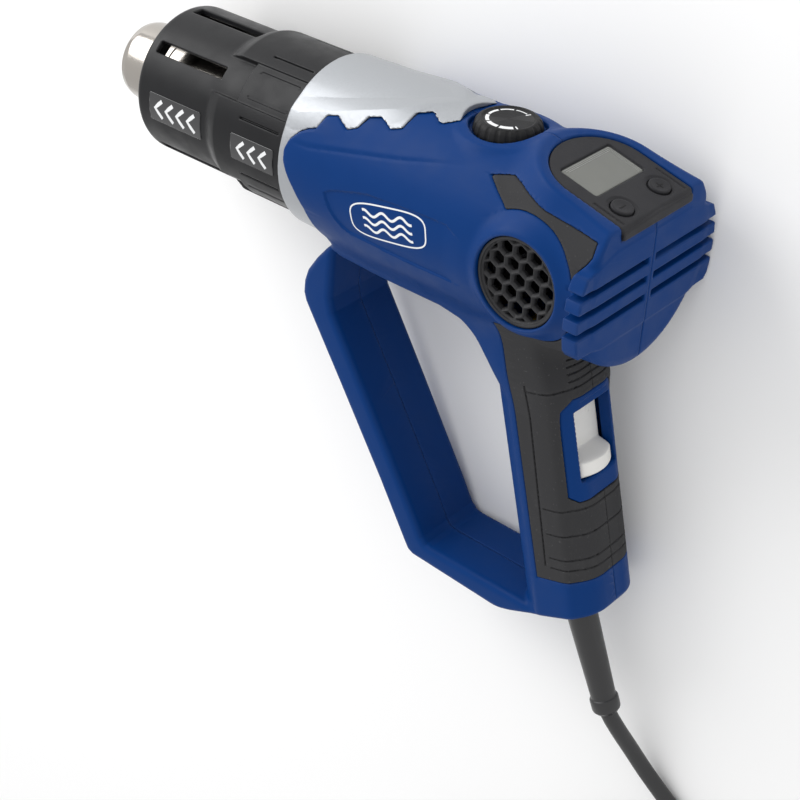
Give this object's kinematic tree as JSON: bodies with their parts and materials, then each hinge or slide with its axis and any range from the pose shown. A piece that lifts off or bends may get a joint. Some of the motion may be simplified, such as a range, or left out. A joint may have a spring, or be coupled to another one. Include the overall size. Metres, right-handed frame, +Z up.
{
  "type": "heat gun",
  "caption": "Pistol-shaped hot air gun with a closed D handle, slotted heat guard, steel nozzle, temperature dial, display with round buttons, slide switch, and coiled mains cord with plug.",
  "frame": {"origin": "centre of the underside of the gun's bounding box as it lies on its right side, on the floor, without its cord", "axes": "+X towards the nozzle, +Y towards the foot of the handle, +Z up from the floor, out of the gun's left side"},
  "size_m": [0.3714, 0.4084, 0.0846],
  "materials": {
    "shell_blue": "fine satin grain",
    "rubber_grey": "matt, slightly rough",
    "silver_paint": "satin metallic paint on plastic",
    "guard_black": "satin",
    "label_black": "glossy",
    "nozzle_steel": "bright, faintly heat-tinted",
    "mica": "matt layered mica",
    "ceramic": "matt fired ceramic",
    "heater_wire": "oxidised",
    "motor_steel": "zinc plated can",
    "circuit_board": "solder mask",
    "shaft_steel": "ground",
    "moulded_black": "satin",
    "panel_grey": "satin",
    "dial_black": "satin",
    "lcd_glass": "glossy display window",
    "lcd_back": "satin",
    "slider_white": "satin",
    "capacitor_yellow": "gloss",
    "cord_rubber": "satin",
    "tie_black": "twisted wire tie",
    "plug_black": "satin",
    "pin_nickel": "nickel plated"
  },
  "bodies": {
    "housing": {"left_shell": "shell_blue", "right_shell": "shell_blue", "left_overmould": "rubber_grey", "right_overmould": "rubber_grey", "nose_shroud": "silver_paint", "heat_guard": "guard_black", "guard_labels": "label_black", "nozzle_tube": "nozzle_steel", "mica_sleeve": "mica", "element_core": "ceramic", "heating_coil": "heater_wire", "element_flange": "nozzle_steel", "fan_motor": "motor_steel", "rectifier_board": "circuit_board", "fan_baffle": "moulded_black", "control_board": "circuit_board", "display_panel": "panel_grey", "lcd_window": "lcd_glass", "lcd_module": "lcd_back", "potentiometer": "moulded_black", "left_intake_grille": "panel_grey", "right_intake_grille": "panel_grey", "switch_bezel": "shell_blue", "switch_body": "moulded_black", "terminal_block": "ceramic", "suppression_capacitor": "capacitor_yellow", "cord_clamp": "moulded_black", "clamp_screws": "shaft_steel", "housing_screws": "shaft_steel", "strain_relief": "cord_rubber", "cord_lead": "cord_rubber", "cord_coil": "cord_rubber", "cord_tail": "cord_rubber", "coil_tie": "tie_black", "plug_body": "plug_black", "plug_pins": "pin_nickel"},
    "dial": {"dial_knob": "dial_black"},
    "slider": {"switch_slider": "slider_white"},
    "minus": {"minus_button": "panel_grey"},
    "plus": {"plus_button": "panel_grey"},
    "rotor": {"motor_shaft": "shaft_steel", "fan_impeller": "moulded_black"}
  },
  "joints": [
    {"name": "dial_turn", "type": "hinge", "parent": "housing", "child": "dial", "pos_m": [-0.05717, -0.11556, 0.04412], "axis": [-0.0057, 0.9919, -0.1268], "range_deg": [0, 270]},
    {"name": "slider_slide", "type": "slide", "parent": "housing", "child": "slider", "axis": [0.2472, -0.9625, 0.1121], "range_m": [0, 0.009]},
    {"name": "minus_press", "type": "slide", "parent": "housing", "child": "minus", "axis": [0.2429, 0.9608, -0.134], "range_m": [0, 0.0008], "stiffness_N_per_m": 600, "springref_m": -0.001},
    {"name": "plus_press", "type": "slide", "parent": "housing", "child": "plus", "axis": [0.2429, 0.9608, -0.134], "range_m": [0, 0.0008], "stiffness_N_per_m": 600, "springref_m": -0.001},
    {"name": "fan_spin", "type": "hinge", "parent": "housing", "child": "rotor", "pos_m": [-0.05535, -0.08441, 0.04005], "axis": [0.999, 0, -0.045], "continuous": true}
  ]
}
